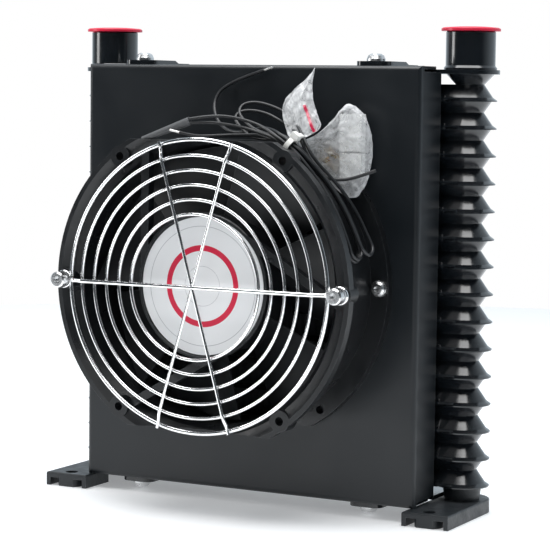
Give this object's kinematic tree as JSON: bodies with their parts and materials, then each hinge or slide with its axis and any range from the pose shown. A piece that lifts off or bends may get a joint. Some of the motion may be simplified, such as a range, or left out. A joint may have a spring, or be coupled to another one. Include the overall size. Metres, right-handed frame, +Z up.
{
  "type": "oil cooler",
  "caption": "Fan-cooled plate oil cooler: sheet cowl with a guarded axial fan, finned tube core between two ribbed headers, capped ports and bolt-down feet.",
  "frame": {"origin": "centre of the footprint, on the floor under the feet", "axes": "+X to the viewer's right when facing the fan, +Y from the fan towards the core's rear, +Z up"},
  "size_m": [0.25, 0.119, 0.257],
  "materials": {
    "black_sheet": "satin",
    "black_core": "semi-gloss",
    "black_casting": "satin",
    "bright_zinc": "satin",
    "guard_chrome": "bright",
    "black_impeller": "satin",
    "red_cap": "gloss",
    "white_label": "satin",
    "copper_winding": "satin",
    "bare_steel": "ground",
    "grey_sleeve": "matte",
    "black_lead": "satin",
    "tinned_copper": "bright",
    "white_tie": "satin",
    "clear_bag": "gloss",
    "white_shell": "satin",
    "brass_terminal": "satin"
  },
  "bodies": {
    "core": {"cowl": "black_sheet", "cowl_lugs": "black_core", "cowl_screws": "bright_zinc", "cowl_nuts": "bright_zinc", "oil_tube_01": "black_core", "oil_tube_02": "black_core", "oil_tube_03": "black_core", "oil_tube_04": "black_core", "oil_tube_05": "black_core", "oil_tube_06": "black_core", "oil_tube_07": "black_core", "oil_tube_08": "black_core", "oil_tube_09": "black_core", "oil_tube_10": "black_core", "oil_tube_11": "black_core", "oil_tube_12": "black_core", "oil_tube_13": "black_core", "oil_tube_14": "black_core", "oil_tube_15": "black_core", "air_fins": "black_core", "top_plate": "black_core", "bottom_plate": "black_core", "inlet_port": "black_core", "outlet_port": "black_core", "right_foot": "black_core", "left_foot": "black_core", "fan_frame": "black_casting", "motor_label": "white_label", "stator_core": "bare_steel", "stator_windings": "copper_winding", "front_bearing": "bare_steel", "rear_bearing": "bare_steel", "guard_rings": "guard_chrome", "guard_spokes": "guard_chrome", "guard_screws": "bright_zinc", "guard_nuts": "bright_zinc", "fan_screws": "bright_zinc", "fan_nuts": "bright_zinc", "washers": "bright_zinc", "lead_sleeve": "grey_sleeve", "lead_run_upper": "black_lead", "lead_run_lower": "black_lead", "earth_lead_end": "black_lead", "lead_loops": "black_lead", "lead_tail_upper": "black_lead", "lead_tail_lower": "black_lead", "lead_hank": "black_lead", "lead_tips": "tinned_copper", "cable_tie": "white_tie", "spares_bag": "clear_bag", "spare_shells": "white_shell", "spare_terminals": "brass_terminal"},
    "rotor": {"motor_shaft": "bare_steel", "shaft_clip": "bare_steel", "rotor_cup": "black_impeller", "rotor_cage": "bare_steel", "impeller": "black_impeller"},
    "inlet_cap": {"inlet_cap": "red_cap"},
    "outlet_cap": {"outlet_cap": "red_cap"}
  },
  "joints": [
    {"name": "rotor_spin", "type": "hinge", "parent": "core", "child": "rotor", "pos_m": [0, 0, 0.12175], "axis": [0, 1, 0], "continuous": true},
    {"name": "inlet_cap_lift", "type": "slide", "parent": "core", "child": "inlet_cap", "axis": [0, 0, 1], "range_m": [0, 0.04]},
    {"name": "outlet_cap_lift", "type": "slide", "parent": "core", "child": "outlet_cap", "axis": [0, 0, 1], "range_m": [0, 0.04]}
  ]
}
